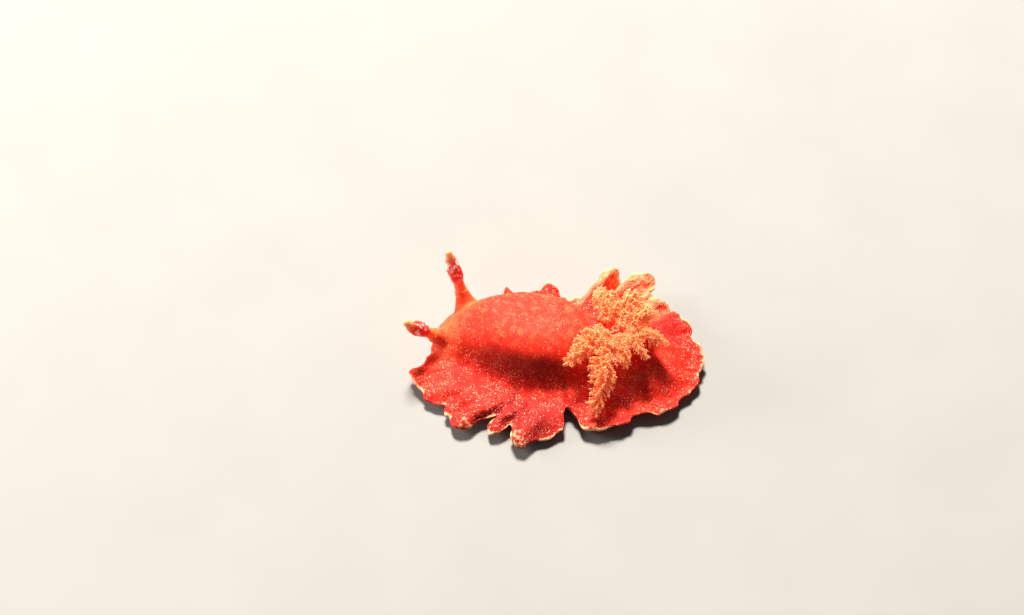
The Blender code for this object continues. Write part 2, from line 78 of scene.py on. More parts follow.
# %% Outline sizes
MANTLE_CENTRE = Vector((1.0, -3.5)) * MM
MANTLE_HALF_LENGTH = 24.5 * MM
MANTLE_HALF_WIDTH = 15.0 * MM
BRIM_TOP = 3.0 * MM
MARGIN_TOP = 1.9 * MM
BRIM_THICKNESS = 1.15 * MM
MARGIN_THICKNESS = 0.32 * MM
LOWEST_SKIRT = 0.3 * MM

WAVE_POWER = 3
# Angle and spread in degrees, reach and lift in millimetres.
MARGIN_WAVES = (
    (178, 10, -2.9, 0.9), (160, 12, -2.0, 0.6), (138, 14, -1.9, 0.7), (111, 16, -1.0, 0.0),
    (111.5, 2.6, 0.9, 1.0), (92.5, 3.6, 1.4, 1.5), (84, 11, -2.0, 0.0), (71.0, 3.6, 2.6, 2.6),
    (65.3, 1.5, -1.0, -0.3), (64, 10, 0.0, 1.6), (59.5, 6.0, 3.3, 1.6), (55, 4, 1.6, 0.0),
    (47, 7, 0.7, 1.9), (30, 12, 0.1, 1.5), (14, 6, -0.8, 0.6), (3, 6, 0.4, 0.5),
    (340, 10, 0.5, -0.2), (318, 8, 1.0, -0.1), (304, 5, -0.8, 0.3), (290, 7, 0.8, 0.3),
    (276, 2.6, -4.6, 0.5), (267, 5, 0.4, -0.4), (263.5, 4, 1.6, -0.1), (257.3, 4.4, 3.6, -0.4),
    (251.3, 1.4, -0.7, 0.2), (246.8, 3.2, 2.3, -0.4), (241.2, 2.3, -1.8, 0.3), (234.8, 4.6, 3.5, -0.3),
    (226.8, 4.5, 1.9, -0.4), (212, 5, 1.5, -0.3), (200, 6, 1.0, 0.0), (193, 3, 0.6, 0.4),
)
# Angle and spread in degrees, share of the way out and its spread, height in millimetres.
SKIRT_SWELLS = ((238, 38, 0.62, 0.10, -0.7), (238, 40, 0.82, 0.11, 0.9), (36, 24, 0.80, 0.10, -0.8))


def smooth(low, high, value):
    """Zero below low, one above high and a soft step between them."""
    share = min(max((value - low) / (high - low), 0), 1)
    return share * share * (3 - 2 * share)


def angle_between(first, second):
    """The smaller angle between two directions in degrees."""
    return abs((first - second + 180) % 360 - 180)


def margin_wave(angle, column):
    """The sum of the waves at an angle, in metres: column 2 is reach and 3 is lift."""
    total = 0
    for wave in MARGIN_WAVES:
        away = angle_between(angle, wave[0]) / wave[1]
        if away < 3:
            total += wave[column] * exp(-away ** WAVE_POWER)
    return total * MM


def oval_place(angle):
    """The oval's own place for an angle, from its centre."""
    turn = radians(angle)
    return Vector((MANTLE_HALF_LENGTH * cos(turn), MANTLE_HALF_WIDTH * sin(turn)))


print("waves on the edge of the mantle:", len(MARGIN_WAVES))

# %% [markdown]
# ## The heights of the back
#
# The body shows through the mantle as a long hump from the head to the gills. It could be three blended
# balls. Here it is a height over the plan, made of three soft humps along the body's middle line, because
# a height keeps the skin one clean sheet that can carry more relief.

# %% Humps
AXIS_OFFSET = -0.9 * MM
AXIS_SLOPE = -0.16
# Place along the line, offset, half-length, half-width on the right and left, height, all in
# millimetres, and how boxy the hump is.
HUMPS = (
    (-14.5, 0.8, 8.2, 6.8, 8.2, 4.1, 2.5),
    (-3.0, 0.2, 14.6, 8.3, 10.4, 6.9, 4.2),
    (12.0, -0.8, 12.0, 7.8, 9.3, 3.9, 2.8),
)
HUMP_STEEPNESS = 1.3
HUMP_BLEND = 4
HUMP_UNDERSIDE = 0.15


def axis_at(x):
    """The body's middle line in plan."""
    return AXIS_OFFSET + AXIS_SLOPE * x


def hump_height(x, y):
    """How far the back stands over the brim at a place in plan."""
    total = 0
    for along, offset, half_length, right, left, height, fullness in HUMPS:
        middle = axis_at(x) + offset * MM
        width = right if y > middle else left
        q = hypot((x / MM - along) / half_length, (y - middle) / MM / width)
        if q < 1:
            total += (height * (1 - q ** fullness) ** HUMP_STEEPNESS) ** HUMP_BLEND
    return total ** (1 / HUMP_BLEND) * MM


print("height of the back: %.1f mm" % ((hump_height(-4 * MM, 0) + BRIM_TOP) / MM))

# %% [markdown]
# ## Frills, folds and puffed tips
#
# A living mantle is never even. Its edge is finely frilled, grooves run inward from the bays, and the
# tips of the lobes are puffed and pale. These could be sculpted by hand. Here smooth noise makes the
# frills, and short lists place the grooves and the tips.

# %% Fine relief of the mantle
FRILLS = ((2.3, 0.34, 0.76), (1.05, 0.22, 0.88))  # wavelength and height in mm, share where it starts
FAR_MARGIN = (58, 20)  # angle and spread in degrees of the wrinkled far margin
FAR_GROWTH = 1.7  # how much its frills grow
CLOSED_BAY = (66.4, 2.6, 1.5)  # angle, spread and reach in mm where two flaps touch
SCALLOPS = ((2.4, 0.55), (1.1, 0.38))  # wavelength and reach in mm
WANDERS = ((3.0, 0.75), (1.3, 0.40))  # wavelength and sideways reach in mm
UNDULATIONS = ((4.5, 0.26), (1.9, 0.12))  # wavelength and height in mm
PUCKERS = ((0.95, 0.09),)  # the same, on the skirt alone
# Angle and width in degrees, depth in mm, and the share of the radius where the groove is deepest.
GROOVES = (
    (241.5, 3.0, 0.7, 0.84), (251.3, 2.2, 0.5, 0.88), (276, 3.2, 1.1, 0.80), (229.5, 2.6, 0.3, 0.86),
    (219, 3.0, 0.35, 0.86), (206, 3.0, 0.3, 0.85), (267, 3.0, 0.25, 0.85), (304, 5.0, 0.5, 0.82),
    (330, 5.0, 0.4, 0.85), (65.3, 2.2, 0.5, 0.88), (50, 3.0, 0.35, 0.84), (38, 2.6, 0.35, 0.86),
    (18, 3.0, 0.3, 0.86), (101, 4.0, 0.4, 0.88), (82, 3.0, 0.35, 0.88),
)
# Angle, radius and height of each puffed tip, the last two in mm.
TIPS = (
    (235.5, 1.6, 0.6), (247.8, 1.0, 0.4), (256.8, 1.7, 0.85), (227, 0.8, 0.3), (211, 0.9, 0.4),
    (200, 0.9, 0.35), (192, 0.8, 0.35), (284, 1.0, 0.45), (111.5, 0.7, 0.3), (91.5, 0.9, 0.3),
    (70, 1.5, 0.4), (57, 1.3, 0.35), (63, 1.1, 0.3), (51, 1.0, 0.3), (316, 0.8, 0.3), (340, 0.8, 0.3),
    (22, 0.7, 0.3), (44, 0.7, 0.3), (34, 0.6, 0.25), (10, 0.7, 0.25),
)
GROOVE_LENGTH = 0.13  # how far a groove reaches in and out, as a share of the radius
TIP_SHARE = 0.955


def sector(angle, middle, spread):
    """One round an angle and zero well away from it."""
    return exp(-(angle_between(angle, middle) / spread) ** 4)


def ripple(place, waves):
    """A sum of smooth noise waves at a place, for pairs of wavelength and height in millimetres."""
    return sum(height * noise.noise(place / (wave * MM)) for wave, height in waves)


def mantle_plan(angle, share):
    """The place in plan at a share of the way from the mantle's centre to its edge."""
    oval = oval_place(angle)
    reach = margin_wave(angle, 2) + CLOSED_BAY[2] * MM * sector(angle, *CLOSED_BAY[:2])
    stretch = 1 + reach / oval.length * share ** 2
    scallop = ripple(Vector((*oval, 0)), SCALLOPS) * (MM * smooth(0.82, 1, share))
    out = oval * (share * stretch + scallop / oval.length)
    wander = ripple(Vector((*out, 9 * MM)), WANDERS)
    aside = Vector((-oval.y, oval.x)).normalized()
    return MANTLE_CENTRE + out + aside * wander * MM * smooth(0.78, 0.95, share)


def place_on_mantle(plan):
    """The angle of a place in plan and about its share of the way to the edge."""
    away = plan - MANTLE_CENTRE
    angle = atan2(away.y / MANTLE_HALF_WIDTH, away.x / MANTLE_HALF_LENGTH) / pi * 180 % 360
    return angle, away.length / (mantle_plan(angle, 1) - MANTLE_CENTRE).length


TIP_PLACES = [(mantle_plan(angle, TIP_SHARE), radius * MM, height * MM) for angle, radius, height in TIPS]


def frill(angle, share):
    """The fine waves of the edge, which fade inward."""
    edge = Vector((*oval_place(angle), 0))
    total = 0
    for number, (wave, height, start) in enumerate(FRILLS):
        place = edge / (wave * MM) + Vector((0, 0, 3.7 * number))
        total += height * noise.noise(place) * smooth(start, 1, share)
    return total * MM * (1 + FAR_GROWTH * sector(angle, *FAR_MARGIN))


def grooves(angle, share):
    """The grooves that run inward from the bays between the lobes."""
    total = 0
    for middle, width, depth, deepest in GROOVES:
        away = angle_between(angle, middle) / width
        if away < 3:
            total += depth * exp(-away * away - ((share - deepest) / GROOVE_LENGTH) ** 2)
    return total * MM


def tip_swell(plan):
    """How far the skin is puffed out at the tips of the lobes."""
    total = 0
    for place, radius, height in TIP_PLACES:
        away = (plan - place).length / radius
        if away < 3:
            total += height * exp(-away * away)
    return total


def undulation(plan, hump):
    """Soft unevenness of the whole skin, finer where the hump is low."""
    place = Vector((*plan, 0))
    return (ripple(place, UNDULATIONS) + ripple(place, PUCKERS) * (1 - smooth(0, 3 * MM, hump))) * MM


print("grooves:", len(GROOVES), "puffed tips:", len(TIPS))

# %% [markdown]
# ## The gill pocket, the foot and the small head
#
# The gills stand in a pocket with a raised rim. Below, the animal creeps on a narrow foot, and its small
# head with the mouth lies in front of the foot, under the mantle. They could be bodies of their own, but
# flesh has no seams, so they are relief in the two surfaces of the same skin.

# %% Upper and lower surface
GILL_CENTRE = Vector((10.7, -3.0, 6.9)) * MM
POCKET_RADIUS = 3.05 * MM
POCKET_DEPTH = 0.9 * MM
POCKET_FLOOR = GILL_CENTRE.z - POCKET_DEPTH
POCKET_RIM = 0.55 * MM
POCKET_RIM_REACH = 0.5 * MM
POCKET_FOLDS = 9
HEAD_CUT_X = -12.2 * MM
FOOT_CENTRE_X = 2.6 * MM
FOOT_HALF_LENGTH = 16.4 * MM
FOOT_HALF_WIDTH = 6.4 * MM
FOOT_SOLE = 0.02 * MM
SNOUT_CENTRE = Vector((-14.7, 0.4, 1.35)) * MM
SNOUT_HALF_SIZE = Vector((3.0, 2.5, 1.0)) * MM
SNOUT_HOLLOW_DEPTH = 0.95 * MM
SNOUT_HOLLOW_SPREAD = 4.6 * MM
FACING = Vector((-0.93, 0.37, 0.0)).normalized()
MOUTH_WIDTH = 0.22 * MM
MOUTH_DEPTH = 0.5 * MM


def brim_height(angle, share):
    """The top of the mantle without the humps of the back."""
    margin = MARGIN_TOP + margin_wave(angle, 3)
    swell = 0
    for middle, spread, out, width, height in SKIRT_SWELLS:
        away = (angle_between(angle, middle) / spread) ** 4 + ((share - out) / width) ** 2
        swell += height * MM * exp(-away)
    return BRIM_TOP + (margin - BRIM_TOP) * smooth(0.5, 1.0, share) + swell


def hump_on(plan, share):
    """The back's height over the brim, which ends at the edge of the mantle."""
    return hump_height(*plan) * (1 - min(share, 1) ** 12)


def pocket(plan, height):
    """The skin's height with the pocket sunk into it and its folded rim raised."""
    away = plan - GILL_CENTRE.xy
    radius = away.length
    fold = 1 + 0.35 * sin(POCKET_FOLDS * atan2(away.y, away.x))
    rim = POCKET_RIM * fold * exp(-((radius - POCKET_RADIUS - POCKET_RIM_REACH) / POCKET_RIM_REACH) ** 2)
    inside = 1 - smooth(POCKET_RADIUS - 0.1 * MM, POCKET_RADIUS + 0.3 * MM, radius)
    return (height + rim) * (1 - inside) + POCKET_FLOOR * inside


def skin_top(angle, share):
    """A point of the mantle's upper skin."""
    plan = mantle_plan(angle, share)
    hump = hump_on(plan, share)
    height = brim_height(angle, share) + hump + frill(angle, share) - grooves(angle, share)
    height += tip_swell(plan) + undulation(plan, hump) * (1 - 0.6 * share ** 6)
    if (plan - GILL_CENTRE.xy).length < 2 * POCKET_RADIUS:
        height = pocket(plan, height)
    return Vector((*plan, height))


def snout_bottom(plan):
    """The lower side of the small head, with the mouth as a slit in front, or None beside it."""
    away = plan - SNOUT_CENTRE.xy
    ahead = away.dot(FACING.xy) / SNOUT_HALF_SIZE.x
    aside = away.cross(FACING.xy) / SNOUT_HALF_SIZE.y
    left = 1 - ahead * ahead - aside * aside
    if left <= 0:
        return None
    slit = exp(-(aside * SNOUT_HALF_SIZE.y / MOUTH_WIDTH) ** 2) * smooth(0.1, 0.5, ahead)
    return SNOUT_CENTRE.z - SNOUT_HALF_SIZE.z * left ** 0.5 + MOUTH_DEPTH * slit


def skin_bottom(angle, share):
    """A point of the lower skin: the mantle's underside, the foot's sole or the small head."""
    plan = mantle_plan(angle, share)
    thickness = BRIM_THICKNESS + (MARGIN_THICKNESS - BRIM_THICKNESS) * smooth(0.90, 1.0, share)
    hump = hump_on(plan, share)
    away = (plan - SNOUT_CENTRE.xy).length / SNOUT_HOLLOW_SPREAD
    hollow = SNOUT_HOLLOW_DEPTH * exp(-away ** 4) * (1 - smooth(0.75, 0.92, share))
    height = brim_height(angle, share) - thickness + HUMP_UNDERSIDE * hump + hollow
    height += frill(angle, share) - grooves(angle, share) - 0.3 * tip_swell(plan)
    height = max(height, LOWEST_SKIRT)
    sideways = (plan.y - axis_at(plan.x)) / FOOT_HALF_WIDTH
    inside = 1 - smooth(0.96, 1.06, hypot((plan.x - FOOT_CENTRE_X) / FOOT_HALF_LENGTH, sideways))
    inside *= smooth(-0.15 * MM, 0.25 * MM, plan.x - HEAD_CUT_X)
    height = height * (1 - inside) + FOOT_SOLE * inside
    snout = snout_bottom(plan) if plan.x < HEAD_CUT_X else None
    if snout is not None:
        height = min(height, snout)
    return Vector((*plan, height))


print("pocket radius: %.2f mm, foot length: %.1f mm" % (POCKET_RADIUS / MM, 2 * FOOT_HALF_LENGTH / MM))

# %% [markdown]
# ## One skin
#
# The skin starts as a flat disc: a grid whose squares are bent into rings, then finer rings pushed
# outward from its rim. Extruding the disc gives it a second side and a wall, and then every point is
# moved to its place. A sphere squashed flat would crowd its points at two poles, and the disc does not.

# %% Mesh helpers
SKIN_SQUARES = 80
SKIN_INNER = 0.62
SKIN_RINGS = 42


def disc_sheet(squares, shares):
    """A flat disc of radius one: nested squares bent round inside, then rings twice as fine."""
    bm = bmesh.new()
    bmesh.ops.create_grid(bm, x_segments=squares, y_segments=squares, size=1)
    for vert in bm.verts:
        u, v, _ = vert.co
        share = max(abs(u), abs(v))
        if share > 0:
            turn = pi / 4 * (v / u if abs(u) >= abs(v) else 2 - u / v)
            if (u if abs(u) >= abs(v) else v) < 0:
                turn += pi
            vert.co = Vector((cos(turn), sin(turn), 0)) * share * shares[0]
    rim = [edge for edge in bm.edges if edge.is_boundary]
    bmesh.ops.subdivide_edges(bm, edges=rim, cuts=1)
    rim = [edge for edge in bm.edges if edge.is_boundary]
    for vert in {vert for edge in rim for vert in edge.verts}:
        vert.co = vert.co.normalized() * shares[0]
    for share in shares[1:]:
        added = bmesh.ops.extrude_edge_only(bm, edges=rim)["geom"]
        rim = [item for item in added if isinstance(item, bmesh.types.BMEdge)]
        for item in added:
            if isinstance(item, bmesh.types.BMVert):
                item.co = item.co.normalized() * share
    return bm


def closed_body(bm, top, bottom):
    """Bends a flat disc to an upper surface, with a lower one and a wall that close it."""
    upper = bm.verts[:]
    added = bmesh.ops.extrude_face_region(bm, geom=bm.faces[:])["geom"]
    lower = [item for item in added if isinstance(item, bmesh.types.BMVert)]
    for verts, surface in ((upper, top), (lower, bottom)):
        for vert in verts:
            angle = atan2(vert.co.y, vert.co.x) / pi * 180 % 360
            vert.co = surface(angle, vert.co.length)
    bmesh.ops.recalc_face_normals(bm, faces=bm.faces[:])
    return bm


def lathe(profile, sides):
    """A closed body turned round Z from (radius, height) pairs that start and end on the axis."""
    bm = bmesh.new()
    verts = [bm.verts.new((radius, 0, height)) for radius, height in profile]
    edges = [bm.edges.new(pair) for pair in zip(verts, verts[1:])]
    bmesh.ops.spin(bm, geom=verts + edges, cent=(0, 0, 0), axis=(0, 0, 1),
                   angle=2 * pi, steps=sides, use_merge=True)
    bmesh.ops.remove_doubles(bm, verts=bm.verts[:], dist=MERGE)
    bmesh.ops.recalc_face_normals(bm, faces=bm.faces[:])
    return bm


def directions(path, share, step):
    """The directions along a path, across it and over it."""
    ahead = (path(share + step) - path(share - step)).normalized()
    aside = ahead.cross(Vector((0, 0, 1))).normalized()
    return ahead, aside, aside.cross(ahead)


def tube(path, radius, sides, rings):
    """A closed tube along a path, both given as functions of the share of its length."""
    bm = bmesh.new()
    bmesh.ops.create_grid(bm, x_segments=sides, y_segments=rings, size=0.5)
    for vert in bm.verts:
        turn = 2 * pi * (vert.co.x + 0.5)
        share = vert.co.y + 0.5
        _, aside, over = directions(path, share, 0.01)
        vert.co = path(share) + (aside * cos(turn) + over * sin(turn)) * radius(share)
    bmesh.ops.remove_doubles(bm, verts=bm.verts[:], dist=MERGE)
    bmesh.ops.holes_fill(bm, edges=[edge for edge in bm.edges if edge.is_boundary], sides=0)
    bmesh.ops.recalc_face_normals(bm, faces=bm.faces[:])
    return bm


def axis_frame(direction, place):
    """A matrix that turns +Z to a direction and moves the origin to a place."""
    turn = direction.normalized().to_track_quat("Z", "X").to_matrix().to_4x4()
    return Matrix.Translation(place) @ turn


def add_object(name, bm):
    """Makes a smooth mesh object from a bmesh, at the origin."""
    mesh = bpy.data.meshes.new(name)
    bm.to_mesh(mesh)
    bm.free()
    mesh.shade_smooth()
    made = bpy.data.objects.new(name, mesh)
    bpy.context.scene.collection.objects.link(made)
    return made


shares = [SKIN_INNER + (1 - SKIN_INNER) * step / SKIN_RINGS for step in range(SKIN_RINGS + 1)]
skin_bm = closed_body(disc_sheet(SKIN_SQUARES, shares), skin_top, skin_bottom)
print("faces of the skin:", len(skin_bm.faces))

# %% [markdown]
# ## The collars of the feelers
#
# Each feeler, or rhinophore, comes out of a short collar of skin with small lobes on its lip. A collar
# could be pulled out of the skin's grid, but it leans over, so it is turned on a lathe and joined to the
# skin with a Boolean, and the joint is smoothed.

# %% Collars and mouth feelers
# Side, root on the head, direction and length.
RHINOPHORES = (
    ("right", Vector((-14.5, 5.3, 5.6)) * MM, Vector((-0.29, 0.44, 0.85)).normalized(), 9.5 * MM),
    ("left", Vector((-18.4, -1.1, 4.0)) * MM, Vector((-0.67, -0.20, 0.71)).normalized(), 9.9 * MM),
)
SHEATH_RADIUS = 1.95 * MM
SHEATH_LIP_RADIUS = 1.18 * MM
SHEATH_BORE = 1.0 * MM
SHEATH_HEIGHT = 2.3 * MM
SHEATH_ROOT = 0.9 * MM
SHEATH_LOBES = 5
LIP_LOBE = 0.06 * MM
SHEATH_SIDES = 48
JOINT_RADIUS = 3.8 * MM  # how far round a collar's axis its joint is smoothed
JOINT_HEIGHTS = (-2.8 * MM, 0.62 * SHEATH_HEIGHT)
JOINT_ROUNDS = 26
# The crease beside the hump is smoothed where the hump is lower than a rise, inside a share of the
# way to the edge, and well clear of the feelers.
CREASE_RISE = 2.6 * MM
CREASE_SHARE = 0.80
CREASE_CLEAR = 3.4 * MM
CREASE_ROUNDS = 16
ORAL_TENTACLE_LENGTH = 1.6 * MM


def collar(root, direction, seed):
    """A collar that narrows to a lobed lip, standing on the head."""
    wall = [(0, -SHEATH_ROOT), (SHEATH_RADIUS * 1.1, -SHEATH_ROOT)]
    for step in range(9):
        share = step / 8
        radius = SHEATH_LIP_RADIUS + (SHEATH_RADIUS - SHEATH_LIP_RADIUS) * (1 - share) ** 1.7
        wall.append((radius, share * SHEATH_HEIGHT * 0.92))
    middle = (SHEATH_LIP_RADIUS + SHEATH_BORE) / 2
    wall += [(SHEATH_LIP_RADIUS * 0.97, SHEATH_HEIGHT * 0.98), (middle, SHEATH_HEIGHT * 1.02),
             (SHEATH_BORE, SHEATH_HEIGHT * 0.96), (SHEATH_BORE * 0.95, SHEATH_HEIGHT * 0.75),
             (0, SHEATH_HEIGHT * 0.7)]
    bm = lathe(wall, SHEATH_SIDES)
    for vert in bm.verts:
        turn = atan2(vert.co.y, vert.co.x)
        lobe = max(0, sin(SHEATH_LOBES * turn + seed)) ** 1.5
        lip = smooth(0.75, 1, vert.co.z / SHEATH_HEIGHT) * smooth(0.6, 0.9, vert.co.xy.length / SHEATH_BORE)
        vert.co.z += LIP_LOBE * lobe * lip
        vert.co.xy *= 1 + 0.05 * lobe * lip
    bmesh.ops.transform(bm, matrix=axis_frame(direction, root), verts=bm.verts[:])
    return bm


def mouth_feeler(side):
    """A short feeler beside the mouth: side is 1 on the left and -1 on the right."""
    turn = FACING.to_track_quat("X", "Z").to_matrix().to_4x4()
    place = Matrix.Translation(SNOUT_CENTRE) @ turn

    def path(share):
        ahead = SNOUT_HALF_SIZE.x * 0.5 + ORAL_TENTACLE_LENGTH * share * 0.8
        aside = SNOUT_HALF_SIZE.y * 0.85 + ORAL_TENTACLE_LENGTH * share * 0.3
        return place @ Vector((ahead, side * aside, -0.4 * MM))

    return tube(path, lambda share: (0.4 - 0.14 * share) * MM, 12, 8)


def join_flesh(base, others):
    """Joins closed bodies to the skin with one Boolean and returns the result as a bmesh."""
    target = add_object("skin_target", base)
    tools = bpy.data.collections.new("joined_flesh")
    for other in others:
        tool = add_object("flesh_tool", other)
        bpy.context.scene.collection.objects.unlink(tool)
        tools.objects.link(tool)
    boolean = target.modifiers.new("join", "BOOLEAN")
    boolean.operation = "UNION"
    boolean.solver = "MANIFOLD"
    boolean.operand_type = "COLLECTION"
    boolean.collection = tools
    shown = target.evaluated_get(bpy.context.evaluated_depsgraph_get())
    mesh = bpy.data.meshes.new_from_object(shown)
    result = bmesh.new()
    result.from_mesh(mesh)
    for item in [*tools.objects, target]:
        bpy.data.objects.remove(item)
    bpy.data.collections.remove(tools)
    return result


def relax(verts, rounds):
    """Smooths points of the skin evenly, round after round."""
    for _ in range(rounds):
        bmesh.ops.smooth_vert(skin_bm, verts=verts, factor=0.5,
                              use_axis_x=True, use_axis_y=True, use_axis_z=True)


flesh = [collar(root, direction, 2.0 * number) for number, (_, root, direction, _) in enumerate(RHINOPHORES)]
flesh += [mouth_feeler(-1), mouth_feeler(1)]
skin_bm = join_flesh(skin_bm, flesh)
for _, root, direction, _ in RHINOPHORES:
    joint = []
    for vert in skin_bm.verts:
        away = vert.co - root
        height = away.dot(direction)
        radius = (away - direction * height).length
        if radius < JOINT_RADIUS and JOINT_HEIGHTS[0] < height < JOINT_HEIGHTS[1] and vert.normal.z > -0.7:
            joint.append(vert)
    relax(joint, JOINT_ROUNDS)
crease = []
for vert in skin_bm.verts:
    plan = vert.co.xy
    near_pocket = (plan - GILL_CENTRE.xy).length < 1.6 * POCKET_RADIUS
    near_collar = any((plan - root.xy).length < CREASE_CLEAR for _, root, _, _ in RHINOPHORES)
    if vert.normal.z > 0 and not near_pocket and not near_collar:
        if hump_height(*plan) < CREASE_RISE and place_on_mantle(plan)[1] < CREASE_SHARE:
            crease.append(vert)
relax(crease, CREASE_ROUNDS)
print("faces with collars:", len(skin_bm.faces))

# %% [markdown]
# ## Marks on the skin
#
# The pale rim and tips follow the edge of the mantle, and the skin's red is not the same everywhere. It is
# more orange on the back, the far flaps and round the feelers, partly from its own orange clouds and skin
# and partly as painted light where the lamp falls and on the shaded wall below the collars. It is darker
# on the near skirt, in the hollow beside the back and in a valley behind the gills, which is painted
# shade. A painted image could say so. Here a few numbers from 0 to 1 are stored on the points instead,
# each worked out from its place.

# %% Marks
MARKS = ("rim", "tip", "collar", "hump", "frost", "hollow", "valley_shade", "ruff", "root_orange_and_light")
RIM_WIDTH = 0.55 * MM
TIP_REACH = 4 * MM  # how far inward of the edge the pale tips end
ROOT_ORANGE_AND_LIGHT_REACH = 4.0 * MM  # how far the orange round a feeler's root reaches, partly its clear orange skin and partly painted light on the shaded wall below the collar
NEAR_SKIRT_SHADE = (254, 25)  # angle and spread in degrees of the painted shade on the near skirt
HOLLOW_SHADE = (236, 50)  # the same of the painted shade in the hollow beside the back
HOLLOW_SHADE_IN = (0.1 * MM, 1.6 * MM)  # hump heights where the hollow's painted shade fades in,
HOLLOW_SHADE_OUT = (3.4 * MM, 5.8 * MM)  # and where it fades out
VALLEY_SHADE = (30, 20, 0.82, 0.14)  # angle and spread, then the share of the way out and its spread, of the painted shade in the valley behind the gills


def feeler_marks(place):
    """How near a place is to a feeler's root, and how far up its collar."""
    root_orange_and_light = 0
    lip = 0
    for _, root, direction, _ in RHINOPHORES:
        away = place - root
        root_orange_and_light = max(root_orange_and_light, exp(-(away.length / ROOT_ORANGE_AND_LIGHT_REACH) ** 4))
        height = away.dot(direction) / SHEATH_HEIGHT
        if (away - direction * away.dot(direction)).length < 2.2 * SHEATH_LIP_RADIUS and 0 < height < 1.4:
            lip = max(lip, smooth(0.35, 1.1, height))
    return root_orange_and_light, lip


def marks_at(place):
    """Every mark's number for a place on the skin."""
    plan = place.xy
    angle, share = place_on_mantle(plan)
    inside = (plan - MANTLE_CENTRE).length * (1 / max(share, 0.01) - 1)
    rise = hump_height(*plan)
    root_orange_and_light, lip = feeler_marks(place)
    near_tip = smooth(TIP_REACH, TIP_REACH / 2, inside) if inside < TIP_REACH else 0
    return {
        "rim": exp(-(max(inside, 0) / RIM_WIDTH) ** 2),
        "tip": min(tip_swell(plan) / (0.5 * MM), 1) * near_tip,
        "collar": lip,
        "hump": smooth(0, 4.5 * MM, rise),
        # Painted shade: the near skirt, the hollow beside the back and the valley behind the gills are marked
        # for a darker red where shade falls.
        "frost": sector(angle, *NEAR_SKIRT_SHADE) * smooth(0.50, 0.68, share),
        "hollow": sector(angle, *HOLLOW_SHADE) * smooth(*HOLLOW_SHADE_IN, rise)
                  * (1 - smooth(*HOLLOW_SHADE_OUT, rise)) * (1 - root_orange_and_light),
        "valley_shade": sector(angle, *VALLEY_SHADE[:2]) * exp(-((share - VALLEY_SHADE[2]) / VALLEY_SHADE[3]) ** 4),
        # Partly painted light: the far flaps' orange skin is also painted lighter where they face the lamp.
        "ruff": sector(angle, *FAR_MARGIN) * smooth(0.76, 0.88, share),
        # Partly painted light: the orange round the feeler roots also lightens the shaded wall below the
        # collars.
        "root_orange_and_light": root_orange_and_light,
    }


def mark_skin(mesh):
    """Stores the marks on the points."""
    for name in MARKS:
        mesh.attributes.new(name, "FLOAT", "POINT")
    stored = {name: mesh.attributes[name].data for name in MARKS}
    for number, vert in enumerate(mesh.vertices):
        for name, value in marks_at(vert.co).items():
            stored[name][number].value = value


skin = add_object("mantle_skin", skin_bm)
mark_skin(skin.data)
FLESH_NODES = ["head", "back", "rear_back", "foot", "snout", "oral_tentacle_left", "oral_tentacle_right"]
FLESH_NODES += sorted(name for name in frame["nodes"] if name.startswith("skirt_"))
print("points of the skin:", len(skin.data.vertices), "nodes:", len(FLESH_NODES))

# %% [markdown]
# ## The rhinophores
#
# A rhinophore is a smelling organ: a smooth stalk, then a club of thin slanting plates, and a blunt pale
# tip. The plates could be separate leaves. They are so thin and close that one turned profile with a
# sharp edge for each plate looks the same, and a slant is added afterwards.

# %% Rhinophores
STALK_RADIUS = 0.90 * MM
STALK_ROOT_RADIUS = 1.08 * MM
CLUB_RADIUS = 1.42 * MM
CLUB_NECK = 0.66  # the club's width where it starts, as a share of its full width
CLUB_TAPER = 0.56  # how much of its width it loses towards the tip
CLUB_START = 0.42
CLUB_END = 0.92
TIP_RADIUS = 0.58 * MM
REACH = {"left": -0.70 * MM, "right": 0.45 * MM}  # how much further out than its solid each one ends
LAMELLAE = 17
LAMELLA_DEPTH = 0.18 * MM
# How far each point of a plate lies below its edge and along it, as shares of its depth and pitch.
LAMELLA_STEPS = ((1, 0), (0.25, 0.25), (0, 0.45), (0.3, 0.62))
LAMELLA_SLANT = 0.5 * MM
GROOVE_WIDTH = 0.13  # of the two grooves down the club, front and back
GROOVE_DEPTH = 0.16
RHINOPHORE_SIDES = 56


def club_radius(share):
    """The radius of the club without its plates, for a share of its own length."""
    body = CLUB_NECK + (1 - CLUB_NECK) * smooth(-0.1, 0.42, share)
    return CLUB_RADIUS * body * (1 - CLUB_TAPER * share ** 2.4)


def rhinophore_profile(length):
    """Radius and height along a rhinophore, from the bottom of its collar."""
    foot = SHEATH_HEIGHT * 0.55
    start = CLUB_START * length
    end = CLUB_END * length
    profile = [(0, foot), (STALK_ROOT_RADIUS, foot)]
    for step in range(1, 6):
        share = step / 6
        radius = STALK_ROOT_RADIUS + (STALK_RADIUS - STALK_ROOT_RADIUS) * smooth(0, 1, share)
        profile.append((radius, foot + (start - foot) * share))
    pitch = (end - start) / LAMELLAE
    for plate in range(LAMELLAE):
        share = (plate + 0.5) / LAMELLAE
        radius = club_radius(share)
        depth = LAMELLA_DEPTH * (1 - 0.45 * share)
        low = start + plate * pitch
        profile += [(radius - below * depth, low + along * pitch) for below, along in LAMELLA_STEPS]
    for step in range(7):
        turn = pi / 2 * step / 6
        profile.append((TIP_RADIUS * cos(turn) ** 0.7, end + (length - end) * (0.15 + 0.85 * sin(turn))))
    profile[-1] = (0, length)
    return profile


